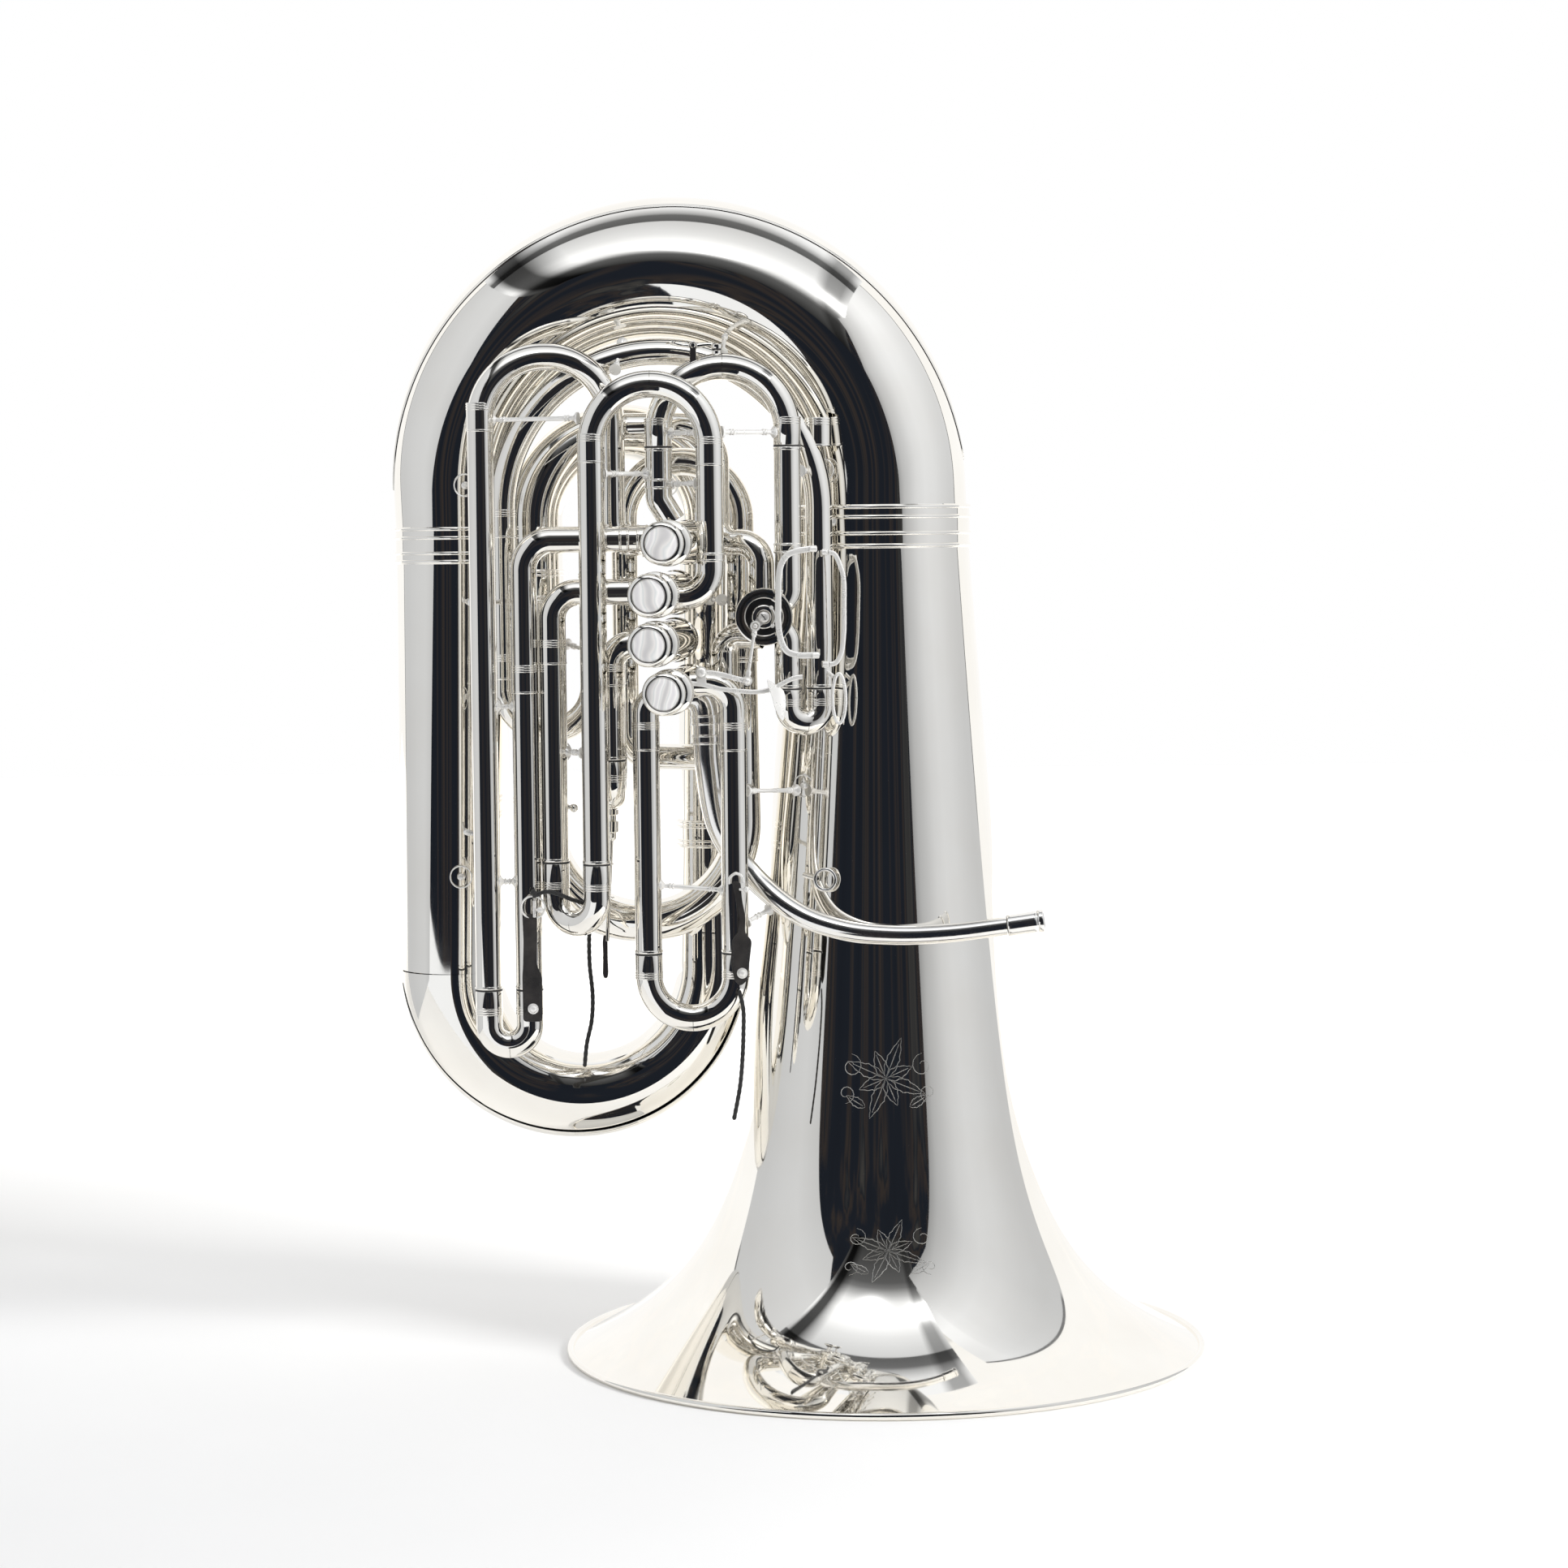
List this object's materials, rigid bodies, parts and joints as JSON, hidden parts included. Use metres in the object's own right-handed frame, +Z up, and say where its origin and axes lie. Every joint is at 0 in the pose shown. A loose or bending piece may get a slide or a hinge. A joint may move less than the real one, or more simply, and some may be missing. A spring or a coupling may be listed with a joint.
{
  "type": "tuba",
  "caption": "Large contrabass tuba with front-action piston valves, a rotary valve, sliding tuning crooks and a wide flared bell, standing on its bell rim.",
  "frame": {"origin": "bottom centre of the instrument's box, on the surface that the bell's rim stands on", "axes": "+Z up from the bell's rim to the top bow, +X to the side of the mouthpiece receiver, -Y to the side of the valve buttons"},
  "size_m": [0.639, 0.512, 0.9162],
  "materials": {
    "silver": "polished silver plate",
    "nickel": "polished nickel plate",
    "pearl": "pearl inlay",
    "leather": "fine-grained black leather",
    "cord": "thin black braided cord"
  },
  "bodies": {
    "body": {"bell": "silver", "bell_ferrule": "silver", "top_bow": "silver", "top_bow_guard": "silver", "left_branch": "silver", "bottom_bow": "silver", "large_inner_branch": "silver", "middle_inner_branch": "silver", "small_inner_branch": "silver", "valve_4_casing": "silver", "valve_4_top_cap": "silver", "valve_4_bottom_cap": "silver", "valve_3_casing": "silver", "valve_3_top_cap": "silver", "valve_3_bottom_cap": "silver", "valve_2_casing": "silver", "valve_2_top_cap": "silver", "valve_2_bottom_cap": "silver", "valve_1_casing": "silver", "valve_1_top_cap": "silver", "valve_1_bottom_cap": "silver", "fourth_slide_arch": "silver", "fourth_slide_return": "silver", "third_slide_arch": "silver", "third_slide_return": "silver", "second_slide_front_tube": "silver", "second_slide_back_tube": "silver", "first_slide_left_tube": "silver", "first_slide_right_tube": "silver", "main_slide_inlet": "silver", "main_slide_outlet": "silver", "fifth_valve_inlet": "silver", "fifth_valve_loop": "silver", "rotor_casing": "silver", "rotor_cap": "silver", "leadpipe": "silver", "left_hand_loop": "silver", "right_hand_loop": "silver", "fourth_slide_strap": "leather", "first_slide_strap": "leather", "fourth_slide_strap_cord": "cord", "first_slide_strap_cord": "cord"},
    "valve_4": {"valve_4_piston": "nickel", "valve_4_button": "pearl"},
    "valve_3": {"valve_3_piston": "nickel", "valve_3_button": "pearl"},
    "valve_2": {"valve_2_piston": "nickel", "valve_2_button": "pearl"},
    "valve_1": {"valve_1_piston": "nickel", "valve_1_button": "pearl"},
    "slide_4": {"fourth_slide_crook": "silver"},
    "slide_3": {"third_slide_crook": "silver"},
    "slide_2": {"second_slide_crook": "silver"},
    "slide_1": {"first_slide_crook": "silver"},
    "slide_5": {"fifth_slide_crook": "silver"},
    "main_slide": {"main_slide_crook": "silver"},
    "water_key": {"water_key": "silver"},
    "rotor": {"rotor": "nickel"},
    "thumb_lever": {"thumb_lever": "silver"},
    "link_rod": {"link_rod": "silver"}
  },
  "joints": [
    {"name": "valve_4_press", "type": "slide", "parent": "body", "child": "valve_4", "axis": [0.1219, 0.9925, 0], "range_m": [0, 0.018], "stiffness_N_per_m": 150, "springref_m": -0.02},
    {"name": "valve_3_press", "type": "slide", "parent": "body", "child": "valve_3", "axis": [0.1219, 0.9925, 0], "range_m": [0, 0.018], "stiffness_N_per_m": 150, "springref_m": -0.02},
    {"name": "valve_2_press", "type": "slide", "parent": "body", "child": "valve_2", "axis": [0.1219, 0.9925, 0], "range_m": [0, 0.018], "stiffness_N_per_m": 150, "springref_m": -0.02},
    {"name": "valve_1_press", "type": "slide", "parent": "body", "child": "valve_1", "axis": [0.1219, 0.9925, 0], "range_m": [0, 0.018], "stiffness_N_per_m": 150, "springref_m": -0.02},
    {"name": "slide_4_pull", "type": "slide", "parent": "body", "child": "slide_4", "axis": [0, 0, -1], "range_m": [0, 0.1]},
    {"name": "slide_3_pull", "type": "slide", "parent": "body", "child": "slide_3", "axis": [0, 0, -1], "range_m": [0, 0.09]},
    {"name": "slide_2_pull", "type": "slide", "parent": "body", "child": "slide_2", "axis": [0, 0, -1], "range_m": [0, 0.04]},
    {"name": "slide_1_pull", "type": "slide", "parent": "body", "child": "slide_1", "axis": [0, 0, -1], "range_m": [0, 0.1]},
    {"name": "slide_5_pull", "type": "slide", "parent": "body", "child": "slide_5", "axis": [0, 0, -1], "range_m": [0, 0.025]},
    {"name": "main_slide_pull", "type": "slide", "parent": "body", "child": "main_slide", "axis": [0, 0, 1], "range_m": [0, 0.03]},
    {"name": "water_key_press", "type": "hinge", "parent": "main_slide", "child": "water_key", "pos_m": [-0.07958, -0.092, 0.795], "axis": [0, -1, 0], "range_deg": [0, 20], "stiffness_Nm_per_rad": 0.02, "springref_deg": -22.92},
    {"name": "rotor_turn", "type": "hinge", "parent": "body", "child": "rotor", "pos_m": [-0.02758, -0.086, 0.588], "axis": [0, 1, 0], "range_deg": [0, 90], "stiffness_Nm_per_rad": 0.05, "springref_deg": -34.38},
    {"name": "thumb_lever_press", "type": "hinge", "parent": "body", "child": "thumb_lever", "pos_m": [-0.07558, -0.128, 0.547], "axis": [0, 1, 0], "range_deg": [-21.8, 0]},
    {"name": "link_swing", "type": "hinge", "parent": "thumb_lever", "child": "link_rod", "pos_m": [-0.04058, -0.1235, 0.54], "axis": [0, 1, 0], "range_deg": [0, 21.8]}
  ],
  "couplings": [
    {"joint": "thumb_lever_press", "follows": "rotor_turn", "ratio": -0.2411},
    {"joint": "link_swing", "follows": "rotor_turn", "ratio": 0.2411}
  ]
}
